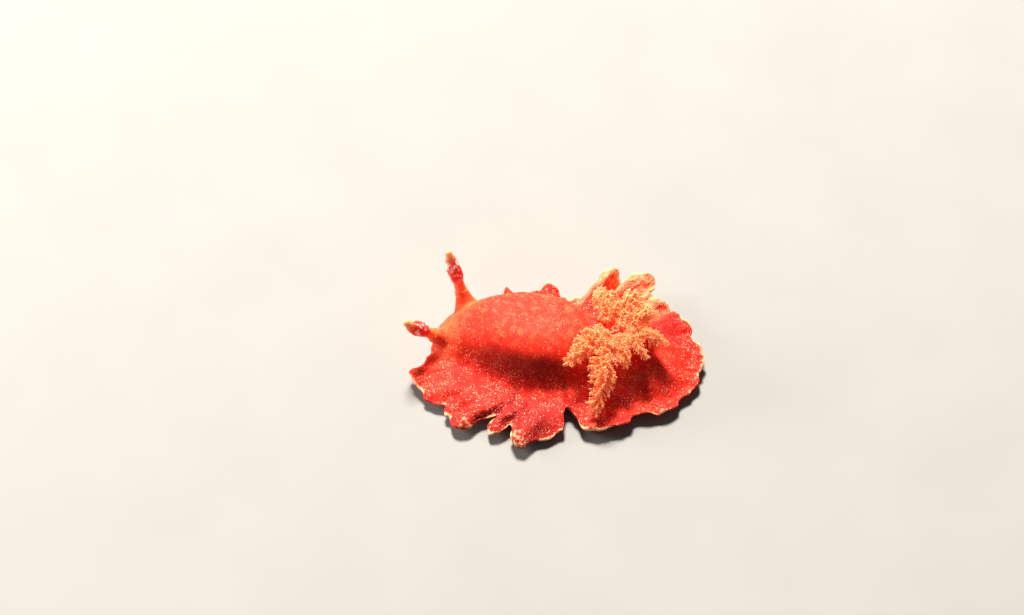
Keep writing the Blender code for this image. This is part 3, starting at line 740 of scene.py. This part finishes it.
def make_rhinophore(side, root, direction, length):
    """One club-shaped feeler, with marks for its plates' edges and its height."""
    bm = lathe(rhinophore_profile(length), RHINOPHORE_SIDES)
    along = bm.verts.layers.float.new("along")
    edge = bm.verts.layers.float.new("edge")
    for vert in bm.verts:
        share = vert.co.z / length
        inside = (share - CLUB_START) / (CLUB_END - CLUB_START)
        vert[along] = share
        club = smooth(CLUB_START - 0.03, CLUB_START + 0.05, share) * (1 - smooth(0.84, 0.93, share))
        if 0 < inside < 1:
            vert[edge] = smooth(-0.5, 0, (vert.co.xy.length - club_radius(inside)) / LAMELLA_DEPTH) * club
        turn = atan2(vert.co.y, vert.co.x)
        groove = exp(-(sin(turn / 2) / GROOVE_WIDTH) ** 2) + exp(-(cos(turn / 2) / GROOVE_WIDTH) ** 2)
        vert.co.xy *= 1 - GROOVE_DEPTH * groove * club
        vert.co.z -= LAMELLA_SLANT * club * cos(turn) * vert.co.xy.length / CLUB_RADIUS
        bend = 0.35 * MM * (share - 0.3) ** 2
        vert.co.x += bend + 0.05 * MM * noise.noise(vert.co / (0.9 * MM))
        vert.co.y += 0.05 * MM * noise.noise(vert.co / (0.9 * MM) + Vector((7, 0, 0)))
    bmesh.ops.transform(bm, matrix=axis_frame(direction, root), verts=bm.verts[:])
    return add_object("rhinophore_skin_" + side, bm)


rhinophores = {side: make_rhinophore(side, root, direction, length + REACH[side])
               for side, root, direction, length in RHINOPHORES}
print("rhinophores:", ", ".join(rhinophores), "with", LAMELLAE, "plates each")

# %% [markdown]
# ## The gill cushion and the vent
#
# The gills grow from a soft cushion in the pocket, in a ring round a short tube, the vent. Both are
# turned on the lathe, with folds pushed into the vent's lip.

# %% Cushion and vent
GILL_BASE_HEIGHT = 0.9 * MM
CUSHION_DOME = 0.55 * MM
GILL_RING = 2.05 * MM
GILL_ROOT_RISE = 0.65 * MM
VENT_RADIUS = 0.8 * MM
VENT_HEIGHT = 1.9 * MM
CUSHION_TOP = POCKET_FLOOR + 0.3 * MM + GILL_BASE_HEIGHT


def make_cushion():
    """The domed cushion that fills the pocket."""
    radius = POCKET_RADIUS + 0.05 * MM
    low = POCKET_FLOOR - 0.1 * MM
    profile = [(0, low), (radius, low)]
    for step in range(9):
        turn = pi / 2 * step / 8
        out = radius * cos(turn) ** 0.6 if step < 8 else 0
        profile.append((out, CUSHION_TOP - CUSHION_DOME * (1 - sin(turn))))
    bm = lathe(profile, 48)
    for vert in bm.verts:
        vert.co.z += 0.10 * MM * noise.noise(vert.co / (0.8 * MM)) * smooth(low, CUSHION_TOP, vert.co.z)
    bmesh.ops.translate(bm, vec=(GILL_CENTRE.x, GILL_CENTRE.y, 0), verts=bm.verts[:])
    return add_object("gill_cushion", bm)


def make_vent():
    """The short anal tube with a folded lip."""
    low = CUSHION_TOP - 0.25 * MM
    high = CUSHION_TOP + VENT_HEIGHT
    profile = [(0, low), (VENT_RADIUS * 1.15, low)]
    for step in range(8):
        share = (step + 1) / 8
        profile.append((VENT_RADIUS * (1.1 - 0.35 * sin(pi * share * 0.7)), low + (high - low) * share))
    profile += [(VENT_RADIUS * 0.6, high + 0.05 * MM), (VENT_RADIUS * 0.38, high - 0.15 * MM),
                (0, high - 0.6 * MM)]
    bm = lathe(profile, 40)
    for vert in bm.verts:
        lip = smooth(0.6, 1, (vert.co.z - low) / (high - low))
        vert.co.xy *= 1 + 0.14 * lip * sin(8 * atan2(vert.co.y, vert.co.x))
    bmesh.ops.translate(bm, vec=(GILL_CENTRE.x, GILL_CENTRE.y, 0), verts=bm.verts[:])
    return add_object("vent_skin", bm)


cushion = make_cushion()
vent = make_vent()
print("cushion top at %.1f mm" % (CUSHION_TOP / MM))

# %% [markdown]
# ## The gills
#
# Each gill is a feather of feathers: a stem, branches on it, and fine leaflets on those. Particle hair
# would be quick, but it isn't mesh. Here one small branch is modelled in a few versions, and each gill
# sets turned and shrunk copies of them along its stem.

# %% Gill sizes and the small branch
# Azimuth in degrees, length, rise and droop in millimetres, and how full the feather is.
GILLS = (
    (108, 5.8, 1.7, 1.0, 1.0), (62, 5.0, 1.8, 0.4, 1.0), (22, 4.4, 1.9, 0.4, 0.95),
    (-16, 6.0, 1.5, 1.2, 0.75), (-47, 4.8, 1.5, 1.3, 0.65), (-76, 4.6, 1.5, 1.5, 0.7),
    (-104, 10.8, 1.6, 5.4, 1.15), (-141, 7.0, 1.3, 1.6, 1.1),
)
BRANCH_VERSIONS = 5
BRANCH_LENGTH = 2.6 * MM
LEAFLET_PAIRS = 12
LEAFLET_LENGTH = 0.80 * MM
LEAFLET_RADIUS = 0.105 * MM
BRANCHES_A_GILL = 84
BRANCH_TURNS = (-1.35, 1.35, -0.55, 0.55, 0.0)  # radians round the stem from straight up
ROOT_TUFTS = 14


def leaflet(bm, tip, length, radius, matrix, start, curl, sides=4, rings=5):
    """Adds one tapered, curled leaflet. The tip mark runs from start at its root to 1."""
    verts = bmesh.ops.create_uvsphere(bm, u_segments=sides, v_segments=rings, radius=1)["verts"]
    for vert in verts:
        share = (vert.co.z + 1) / 2
        width = radius * (1.1 - 0.45 * share)
        vert[tip] = start + (1 - start) * share
        vert.co = Vector((vert.co.x * width, vert.co.y * width + curl * length * share ** 2, length * share))
    bmesh.ops.transform(bm, matrix=matrix, verts=verts)


def small_branch(seed):
    """A template: a curved stem along +Z with leaflets round it."""
    draw = random.Random(seed)
    bm = bmesh.new()
    tip = bm.verts.layers.float.new("tip")
    curl = draw.uniform(0.15, 0.45)
    leaflet(bm, tip, BRANCH_LENGTH, 0.13 * MM, Matrix.Identity(4), 0, curl, 6, 12)
    for pair in range(LEAFLET_PAIRS):
        share = 0.18 + 0.78 * pair / (LEAFLET_PAIRS - 1)
        root = Vector((0, curl * BRANCH_LENGTH * share ** 2, BRANCH_LENGTH * share))
        for side in (-1, 0, 1):
            if side == 0 and pair % 2:
                continue
            turn = side * pi / 2 + draw.uniform(-0.5, 0.5)
            sweep = draw.uniform(0.75, 1.15)
            lean = Vector((sin(sweep) * sin(turn), sin(sweep) * cos(turn), cos(sweep)))
            length = LEAFLET_LENGTH * (1 - 0.45 * abs(share - 0.4)) * draw.uniform(0.75, 1.1)
            leaflet(bm, tip, length, LEAFLET_RADIUS, axis_frame(lean, root), 0.35, draw.uniform(-0.3, 0.3))
    mesh = bpy.data.meshes.new("small_branch")
    bm.to_mesh(mesh)
    bm.free()
    return mesh


branches = [small_branch(seed) for seed in range(BRANCH_VERSIONS)]
print("faces of a small branch:", len(branches[0].polygons))

# %% Gills
def gill_path(azimuth, length, rise, droop):
    """A function that gives the place along a gill's stem for a share of its length."""
    out = Vector((cos(radians(azimuth)), sin(radians(azimuth)), 0))
    start = Vector((GILL_CENTRE.x, GILL_CENTRE.y, CUSHION_TOP))

    def place(share):
        share = max(share, 0)
        flat = start + out * (GILL_RING + length * MM * (0.18 * share + 0.82 * share ** 1.6))
        height = rise * MM * sin(pi * min(share * 1.25, 1) * 0.5) * 1.15 - droop * MM * share ** 2.4
        return flat + Vector((0, 0, height + GILL_ROOT_RISE * smooth(0, 0.11, share)))
    return place


def stem_radius(share):
    """The stem's radius for a share of its length."""
    return (0.46 - 0.30 * share) * MM


def make_gill(number, azimuth, length, rise, droop, fullness):
    """One gill: its stem and small branches down both sides and on top."""
    draw = random.Random(40 + number)
    path = gill_path(azimuth, length, rise, droop)
    bm = tube(lambda share: path(share * 1.02 - 0.02), stem_radius, 10, 24)
    tip = bm.verts.layers.float.new("tip")
    for vert in bm.verts:
        vert[tip] = 0.15
    for step in range(BRANCHES_A_GILL + ROOT_TUFTS):
        share = 0.06 + 0.96 * step / (BRANCHES_A_GILL - 1)
        if step >= BRANCHES_A_GILL:
            share = draw.uniform(0.02, 0.16)
        root = path(share)
        ahead, aside, over = directions(path, share, 0.02)
        turn = BRANCH_TURNS[step % len(BRANCH_TURNS)] + draw.uniform(-0.3, 0.3)
        if step >= BRANCHES_A_GILL:
            turn = draw.choice((-1.4, 1.4))
        sweep = draw.uniform(0.75, 1.25) * (1 - 0.4 * smooth(0.8, 1, share))
        lean = ahead * cos(sweep) + (aside * sin(turn) + over * cos(turn)) * sin(sweep)
        size = fullness * (0.5 + 0.5 * sin(pi * min(share * 0.8 + 0.15, 1))) * draw.uniform(0.75, 1.05)
        spin = Matrix.Rotation(draw.uniform(-0.7, 0.7), 4, "Z")
        branch = branches[draw.randrange(BRANCH_VERSIONS)].copy()
        branch.transform(axis_frame(lean, root) @ spin @ Matrix.Scale(size, 4))
        bm.from_mesh(branch)
        bpy.data.meshes.remove(branch)
    return add_object("gill_feather_%d" % number, bm)


gills = [make_gill(number + 1, *gill) for number, gill in enumerate(GILLS)]
print("gills:", len(gills), "faces of the longest:", max(len(gill.data.polygons) for gill in gills))

# %% [markdown]
# ## How the finishes are written
#
# A finish is a sheet of shader nodes. Written by hand that is many lines of adding and linking. The small
# class below wraps a socket so that plus, minus and times add the Math nodes, and one method makes every
# other node from its type, its settings and what goes into it.

# %% Shader helpers
class Value:
    """A socket on a sheet. Arithmetic on it adds Math nodes."""

    def __init__(self, sheet, socket):
        self.sheet = sheet
        self.socket = socket

    def __add__(self, other):
        return self.sheet.math("ADD", self, other)

    __radd__ = __add__

    def __mul__(self, other):
        return self.sheet.math("MULTIPLY", self, other)

    __rmul__ = __mul__

    def __rsub__(self, other):
        return self.sheet.math("SUBTRACT", other, self)

    def __gt__(self, other):
        return self.sheet.math("GREATER_THAN", self, other)


class Sheet:
    """The shader nodes of one finish."""

    def __init__(self, name):
        self.material = bpy.data.materials.new(name)
        self.material.use_nodes = True
        self.nodes = self.material.node_tree.nodes
        self.links = self.material.node_tree.links
        self.shader = self.nodes["Principled BSDF"]
        self.place = self.node("ShaderNodeTexCoord", {}, {}, "Object")

    def feed(self, socket, value):
        """Links a value or writes a constant."""
        if isinstance(value, Value):
            self.links.new(value.socket, socket)
        elif socket.type == "RGBA":
            socket.default_value = (*value, 1)
        else:
            socket.default_value = value

    def node(self, kind, settings, inputs, output=0):
        """Adds a node of any kind and returns one of its outputs."""
        made = self.nodes.new(kind)
        for key, value in settings.items():
            setattr(made, key, value)
        for key, value in inputs.items():
            socket = next(item for item in made.inputs if key in (item.identifier, item.name))
            self.feed(socket, value)
        return Value(self, made.outputs[output])

    def math(self, operation, first, second):
        """A sum on two values or numbers."""
        return self.node("ShaderNodeMath", {"operation": operation}, {"Value": first, "Value_001": second})

    def mix(self, factor, first, second):
        """A colour between two others."""
        settings = {"data_type": "RGBA"}
        inputs = {"Factor_Float": factor, "A_Color": first, "B_Color": second}
        return self.node("ShaderNodeMix", settings, inputs, 2)

    def mark(self, name):
        """A number stored on the points."""
        return self.node("ShaderNodeAttribute", {"attribute_name": name}, {}, "Fac")

    def noise(self, size, detail=2):
        """Smooth noise from 0 to 1 with features of a size in metres."""
        inputs = {"Vector": self.place, "Scale": 1 / size, "Detail": detail}
        return self.node("ShaderNodeTexNoise", {}, inputs)

    def cells(self, size, output="Distance"):
        """The distance to, or a colour for, the nearest of many scattered points."""
        return self.node("ShaderNodeTexVoronoi", {}, {"Vector": self.place, "Scale": 1 / size}, output)

    def step(self, value, low, high):
        """A soft step of a value between two limits."""
        inputs = {"Value": value, "From Min": low, "From Max": high}
        return self.node("ShaderNodeMapRange", {"interpolation_type": "SMOOTHSTEP"}, inputs)

    def specks(self, size, radius, share):
        """Small round specks at a share of scattered points."""
        chance = self.node("ShaderNodeSeparateColor", {}, {"Color": self.cells(size, "Color")})
        return self.step(self.cells(size), radius, radius * 0.55) * (chance > 1 - share)

    def bump(self, height, distance, strength):
        """A normal bent by a height."""
        inputs = {"Height": height, "Distance": distance, "Strength": strength}
        return self.node("ShaderNodeBump", {}, inputs, "Normal")

    def finish(self, **inputs):
        """Sets the Principled shader's sockets, with underscores for spaces in their names."""
        for key, value in inputs.items():
            self.feed(self.shader.inputs[key.replace("_", " ")], value)
        return self.material


def wear(piece, material):
    """Gives a piece its material."""
    piece.data.materials.append(material)


print("shader helpers ready")

# %% [markdown]
# ## The skin's finish
#
# The skin is vermilion in clouds of deeper red and orange, and covered with fine pale specks that are
# densest on the skirt. The rim and the tips are cream. It could be one flat red, but the specks and
# clouds make it look alive. Light goes a little way into the flesh, so the shader scatters it, and tiny
# pimples like velvet keep the shine weak.

# %% Skin finish
DEEP_RED = (0.62, 0.012, 0.008)
# Painted shade: darker reds for the near skirt, the valley behind the gills and the hollow beside the back.
PAINTED_SHADE_RED = (0.27, 0.007, 0.007)
PAINTED_HOLLOW_SHADE_RED = (0.24, 0.005, 0.004)
# Partly painted light: the far flaps' wrinkled orange, painted lighter where they face the lamp.
RUFF_ORANGE_AND_LIGHT = (1.0, 0.32, 0.15)
STALK_ORANGE = (0.95, 0.16, 0.045)
VERMILION = (0.86, 0.030, 0.015)
WARM_ORANGE = (0.92, 0.085, 0.030)
PALE_SPECK = (1.0, 0.52, 0.34)
CREAM = (0.90, 0.46, 0.25)
FLESH_GLOW = (0.0014, 0.0004, 0.00025)


def skin_finish():
    """Red velvet skin with specks, a broken cream rim and cream tips."""
    sheet = Sheet("dorid_skin")
    rim, tip, lip, hump, frost, hollow, valley_shade, ruff, root_orange_and_light = (sheet.mark(name) for name in MARKS)
    # Fewer specks where shade is painted, in the valley, in the hollow and on the near skirt.
    dotted = 1 - 0.8 * valley_shade
    fine = sheet.noise(0.0007, 3)
    blotch = sheet.step(sheet.noise(0.0011, 4), 0.46, 0.68)
    wrinkles = sheet.step(sheet.noise(0.0008, 3), 0.40, 0.66)
    crowd = sheet.step(sheet.noise(0.0028), 0.36, 0.60)
    dust = sheet.specks(0.00024, 0.46, 0.50) * crowd * (1 - 0.74 * hump)
    dots = sheet.specks(0.00044, 0.29, 0.30) * (1 - 0.45 * hump) * (1 - 0.75 * hollow) * dotted
    broken = sheet.step(fine, 0.38, 0.62)
    patchy = sheet.step(sheet.noise(0.0030), 0.42, 0.62)
    colour = sheet.mix(sheet.step(sheet.noise(0.0045, 3), 0.35, 0.7), DEEP_RED, VERMILION)
    layers = (
        # The orange clouds, then the places that differ
        # Partly painted light: the back is lighter vermilion with more orange clouds, in part its own tone
        # and in part painted light where the lamp falls on top.
        (hump * 0.8, VERMILION),
        (blotch * (0.30 + 0.55 * hump), WARM_ORANGE),
        # Painted shade on the near skirt, in the hollow beside the back and in the valley behind the gills.
        (frost * 0.92, PAINTED_SHADE_RED),
        (hollow * 0.76, PAINTED_HOLLOW_SHADE_RED),
        (valley_shade * 0.78, PAINTED_SHADE_RED),
        # Partly painted light: orange skin round the feeler roots, which also lightens the shaded wall below
        # the collars.
        (root_orange_and_light * 0.40, STALK_ORANGE),
        # Partly painted light: the far flaps' wrinkled orange skin, painted lighter where they face the lamp.
        (ruff * (0.65 + 0.35 * wrinkles), RUFF_ORANGE_AND_LIGHT),
        # Fine dust in crowds, and larger dots
        (dust * (0.62 - 0.25 * frost) * dotted, PALE_SPECK),
        (dots * 0.95, PALE_SPECK),
        # The broken rim, the tips and the collars
        (sheet.step(rim * (0.05 + 0.35 * broken + 0.65 * patchy + 0.15 * ruff), 0.35, 0.85) * 0.9, CREAM),
        (sheet.step(tip * (0.35 + 0.8 * broken), 0.50, 1.25) * 0.60, CREAM),
        (sheet.step(lip, 0.0, 0.8) * 0.7, STALK_ORANGE),
        (sheet.step(lip * (0.4 + 0.7 * broken), 0.75, 1.1) * 0.5, CREAM),
    )
    for amount, tint in layers:
        colour = sheet.mix(amount, colour, tint)
    velvet = 1 - sheet.cells(0.00030)
    relief = (velvet * 0.7 + fine * 0.35) * (1 - 0.5 * hump) + dots * 0.5 + dust * 0.3 + wrinkles * ruff * 1.5
    return sheet.finish(
        Base_Color=colour,
        Roughness=0.54 + 0.14 * fine,
        Normal=sheet.bump(relief, 0.00012, 0.85),
        Subsurface_Weight=0.35,
        Subsurface_Radius=FLESH_GLOW,
        Subsurface_Scale=1.0,
        Specular_IOR_Level=0.09,
    )


wear(skin, skin_finish())
print("skin finish:", len(skin.data.materials[0].node_tree.nodes), "nodes")

# %% [markdown]
# ## The finishes of the feelers and gills
#
# The club is deep red, with patches of pale flecks along the plates' edges, and ends in pale orange. Its
# stalk is clear orange. The gills are peach and paler at the tips. Light comes through such thin flesh
# from all sides. Scattering alone is too dark for that, so both give off a little light of their own.

# %% Feeler and gill finishes
CLUB_RED = (0.88, 0.022, 0.014)
CLUB_TIP = (0.74, 0.29, 0.12)
FLECK = (1.0, 0.72, 0.58)
GILL_DEEP = (0.93, 0.10, 0.040)
GILL_ORANGE = (0.98, 0.24, 0.095)
GILL_PEACH = (1.0, 0.44, 0.22)
THIN_GLOW = (0.0009, 0.0004, 0.0002)
# Painted glow: the gills, the cushion, the vent and the clubs give off light of their own colour, in place of
# light that comes through thin flesh.
GILL_PAINTED_GLOW = 0.13
CLUB_PAINTED_GLOW = 0.08


def thin_flesh(sheet, colour, lift, **finish):
    """A finish of thin flesh that scatters light inside, with a painted glow of its own colour."""
    return sheet.finish(Base_Color=colour, Subsurface_Radius=THIN_GLOW,
                        Emission_Color=colour, Emission_Strength=lift, **finish)


def rhinophore_finish():
    """Orange stalk, deep red club with patches of pale flecks, pale orange tip."""
    sheet = Sheet("rhinophore_skin")
    along = sheet.mark("along")
    edge = sheet.mark("edge")
    fine = sheet.noise(0.0006)
    colour = sheet.mix(sheet.step(along, CLUB_START - 0.06, CLUB_START + 0.08), STALK_ORANGE, CLUB_RED)
    lines = sheet.step(edge, 0.30, 0.60) * sheet.step(sheet.noise(0.0009), 0.53, 0.57)
    colour = sheet.mix(lines * 0.95, colour, FLECK)
    colour = sheet.mix(sheet.step(along + fine * 0.14, 0.84, 1.00), colour, CLUB_TIP)
    return thin_flesh(
        sheet, colour, CLUB_PAINTED_GLOW,
        Roughness=0.36 + 0.14 * fine,
        Normal=sheet.bump(fine, 0.00006, 0.6),
        Subsurface_Weight=0.8,
        Subsurface_Scale=1.6,
        Coat_Weight=0.2,
        Coat_Roughness=0.2,
    )


def gill_finish(name, pale):
    """Thin orange flesh that gets paler towards the tips."""
    sheet = Sheet(name)
    tip = sheet.mark("tip")
    fine = sheet.noise(0.0009)
    colour = sheet.mix(sheet.step(tip, 0.05, 0.6), GILL_DEEP, GILL_ORANGE)
    colour = sheet.mix(sheet.step(tip + fine * 0.6, 0.95, 1.45) * pale, colour, GILL_PEACH)
    return thin_flesh(
        sheet, colour, GILL_PAINTED_GLOW,
        Roughness=0.4 + 0.1 * fine,
        Normal=sheet.bump(fine, 0.00005, 0.5),
        Subsurface_Weight=0.9,
        Subsurface_Scale=1.0,
    )


club_skin = rhinophore_finish()
feather_skin = gill_finish("gill_skin", 0.95)
cushion_skin = gill_finish("cushion_skin", 0.3)
for piece in rhinophores.values():
    wear(piece, club_skin)
for piece in gills:
    wear(piece, feather_skin)
wear(cushion, cushion_skin)
wear(vent, cushion_skin)
print("finishes:", club_skin.name, feather_skin.name, cushion_skin.name)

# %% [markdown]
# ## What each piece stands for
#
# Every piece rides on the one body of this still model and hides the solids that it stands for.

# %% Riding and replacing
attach(skin, "root")
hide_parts(*FLESH_NODES)
for side, piece in rhinophores.items():
    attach(piece, "root")
    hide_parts("rhinophore_" + side)
for number, piece in enumerate(gills):
    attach(piece, "root")
    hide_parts("gill_%d" % (number + 1))
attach(cushion, "root")
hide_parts("gill_base")
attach(vent, "root")
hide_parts("anal_papilla")
print("pieces placed:", 3 + len(rhinophores) + len(gills))

# %% [markdown]
# ## Floor, light and camera
#
# The photograph looks down on the animal at about fifty degrees, with the light from behind it, so that
# the near side of the hump lies in shade. A broad lamp behind and above gives that. A weak one at the
# left lights the front of the head, and weak light from all round opens the shade.

# %% Floor
FLOOR_HALF_SIZE = 1.5
FLOOR_DARK = (0.25, 0.25, 0.245)
FLOOR_LIGHT = (0.28, 0.28, 0.275)


def make_floor():
    """A plain pale floor."""
    bm = bmesh.new()
    bmesh.ops.create_grid(bm, x_segments=1, y_segments=1, size=FLOOR_HALF_SIZE)
    floor = add_object("floor", bm)
    sheet = Sheet("floor_paper")
    grain = sheet.noise(0.02)
    wear(floor, sheet.finish(Base_Color=sheet.mix(grain, FLOOR_DARK, FLOOR_LIGHT), Roughness=0.85))


make_floor()
print("floor laid")

# %% Light
# Name, place in metres, size, power in watts and colour.
LAMPS = (
    ("key", Vector((-0.09, 0.69, 0.93)), 0.24, 47.0, (1.0, 0.93, 0.83)),
    ("left", Vector((-0.56, 0.12, 0.20)), 0.30, 4.2, (1.0, 0.95, 0.88)),
)
WORLD_LIGHT = 0.10
WORLD_COLOUR = (1.0, 0.97, 0.93)


def make_lamp(name, place, size, power, colour):
    """A square lamp that shines at the middle of the animal."""
    lamp = bpy.data.lights.new(name, "AREA")
    lamp.size = size
    lamp.energy = power
    lamp.color = colour
    holder = bpy.data.objects.new(name, lamp)
    holder.location = place
    holder.rotation_euler = (-place).to_track_quat("-Z", "Y").to_euler()
    bpy.context.scene.collection.objects.link(holder)


for lamp in LAMPS:
    make_lamp(*lamp)
world = bpy.data.worlds.new("studio")
world.use_nodes = True
sky = world.node_tree.nodes["Background"].inputs
sky["Color"].default_value = (*WORLD_COLOUR, 1)
sky["Strength"].default_value = WORLD_LIGHT
bpy.context.scene.world = world
bpy.context.scene.view_settings.view_transform = "Standard"
print("lamps:", len(LAMPS))

# %% Camera
CAMERA_ELEVATION = radians(52)
CAMERA_LENS = 85
SENSOR_WIDTH = 36
PICTURE_WIDTH = 176.5 * MM
TARGET = Vector((-6.55, 8.53, 0)) * MM

camera = bpy.data.cameras.new("camera")
camera.lens = CAMERA_LENS
camera.sensor_width = SENSOR_WIDTH
camera.clip_start = 0.01
holder = bpy.data.objects.new("camera", camera)
back = Vector((0, -cos(CAMERA_ELEVATION), sin(CAMERA_ELEVATION)))
holder.location = TARGET + back * (PICTURE_WIDTH * CAMERA_LENS / SENSOR_WIDTH)
holder.rotation_euler = (-back).to_track_quat("-Z", "Y").to_euler()
bpy.context.scene.collection.objects.link(holder)
bpy.context.scene.camera = holder
print("camera distance: %.0f mm" % ((holder.location - TARGET).length / MM))
